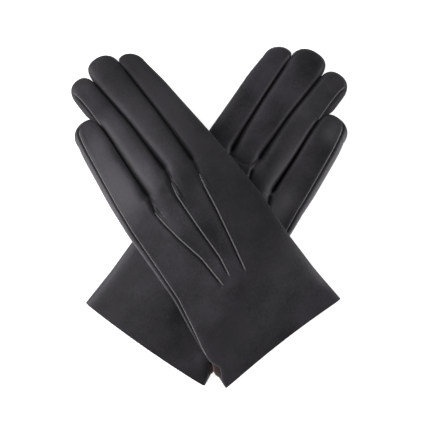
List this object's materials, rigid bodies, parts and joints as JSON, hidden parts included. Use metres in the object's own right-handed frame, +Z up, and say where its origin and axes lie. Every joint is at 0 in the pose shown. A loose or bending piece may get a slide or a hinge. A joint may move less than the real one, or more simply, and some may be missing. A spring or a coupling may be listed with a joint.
{
  "type": "pair of leather dress gloves",
  "caption": "Pair of plain leather dress gloves lying crossed, back up, with three stitched points on each back, open cuffs and fingers that bend.",
  "frame": {"origin": "centre of the pair's outline on the surface that they lie on", "axes": "+Y up the crossed gloves from the cuffs towards the fingertips, +X towards the right glove's fingers, +Z up out of the surface"},
  "size_m": [0.1971, 0.2431, 0.0318],
  "materials": {
    "leather": "satin",
    "side_leather": "satin",
    "thread": "satin",
    "lining": "matte"
  },
  "bodies": {
    "right_hand": {"right_trank": "leather", "right_hand_lining": "lining", "right_cuff_hem": "leather", "right_side_seam": "thread", "right_index_point": "leather", "right_middle_point": "leather", "right_ring_point": "leather", "right_index_middle_fourchette": "side_leather", "right_middle_ring_fourchette": "side_leather", "right_ring_little_fourchette": "side_leather"},
    "right_thumb": {"right_thumb": "leather", "right_thumb_lining": "lining"},
    "right_index_finger": {"right_index_tip": "leather", "right_index_tip_sides": "side_leather", "right_index_tip_lining": "lining"},
    "right_middle_finger": {"right_middle_tip": "leather", "right_middle_tip_sides": "side_leather", "right_middle_tip_lining": "lining"},
    "right_ring_finger": {"right_ring_tip": "leather", "right_ring_tip_sides": "side_leather", "right_ring_tip_lining": "lining"},
    "right_little_finger": {"right_little_tip": "leather", "right_little_tip_sides": "side_leather", "right_little_tip_lining": "lining"},
    "left_hand": {"left_trank": "leather", "left_hand_lining": "lining", "left_cuff_hem": "leather", "left_side_seam": "thread", "left_index_point": "leather", "left_middle_point": "leather", "left_ring_point": "leather", "left_index_middle_fourchette": "side_leather", "left_middle_ring_fourchette": "side_leather", "left_ring_little_fourchette": "side_leather"},
    "left_thumb": {"left_thumb": "leather", "left_thumb_lining": "lining"},
    "left_index_finger": {"left_index_tip": "leather", "left_index_tip_sides": "side_leather", "left_index_tip_lining": "lining"},
    "left_middle_finger": {"left_middle_tip": "leather", "left_middle_tip_sides": "side_leather", "left_middle_tip_lining": "lining"},
    "left_ring_finger": {"left_ring_tip": "leather", "left_ring_tip_sides": "side_leather", "left_ring_tip_lining": "lining"},
    "left_little_finger": {"left_little_tip": "leather", "left_little_tip_sides": "side_leather", "left_little_tip_lining": "lining"}
  },
  "joints": [
    {"name": "left_hand_lift", "type": "slide", "parent": "right_hand", "child": "left_hand", "axis": [0, 0, 1], "range_m": [0, 0.12]},
    {"name": "right_index_bend", "type": "hinge", "parent": "right_hand", "child": "right_index_finger", "pos_m": [0.02796, 0.0825, 0.0006], "axis": [-0.8192, 0.5736, 0], "range_deg": [0, 75]},
    {"name": "right_middle_bend", "type": "hinge", "parent": "right_hand", "child": "right_middle_finger", "pos_m": [0.04845, 0.07427, 0.0006], "axis": [-0.8192, 0.5736, 0], "range_deg": [0, 75]},
    {"name": "right_ring_bend", "type": "hinge", "parent": "right_hand", "child": "right_ring_finger", "pos_m": [0.06341, 0.05768, 0.0006], "axis": [-0.8192, 0.5736, 0], "range_deg": [0, 75]},
    {"name": "right_little_bend", "type": "hinge", "parent": "right_hand", "child": "right_little_finger", "pos_m": [0.07324, 0.03371, 0.0006], "axis": [-0.8192, 0.5736, 0], "range_deg": [0, 75]},
    {"name": "right_thumb_swing", "type": "hinge", "parent": "right_hand", "child": "right_thumb", "pos_m": [-0.03659, -0.01635, 0.003], "axis": [0, 0, 1], "range_deg": [0, 30]},
    {"name": "left_index_bend", "type": "hinge", "parent": "left_hand", "child": "left_index_finger", "pos_m": [-0.03065, 0.07864, 0.00794], "axis": [-0.7934, -0.6088, 0], "range_deg": [0, 75]},
    {"name": "left_middle_bend", "type": "hinge", "parent": "left_hand", "child": "left_middle_finger", "pos_m": [-0.04981, 0.07024, 0.00434], "axis": [-0.7934, -0.6088, 0], "range_deg": [0, 75]},
    {"name": "left_ring_bend", "type": "hinge", "parent": "left_hand", "child": "left_ring_finger", "pos_m": [-0.0629, 0.05389, 0.00394], "axis": [-0.7934, -0.6088, 0], "range_deg": [0, 75]},
    {"name": "left_little_bend", "type": "hinge", "parent": "left_hand", "child": "left_little_finger", "pos_m": [-0.07098, 0.03004, 0.00617], "axis": [-0.7934, -0.6088, 0], "range_deg": [0, 75]},
    {"name": "left_thumb_swing", "type": "hinge", "parent": "left_hand", "child": "left_thumb", "pos_m": [0.04006, -0.01584, 0.0188], "axis": [0, 0, -1], "range_deg": [0, 30]}
  ]
}
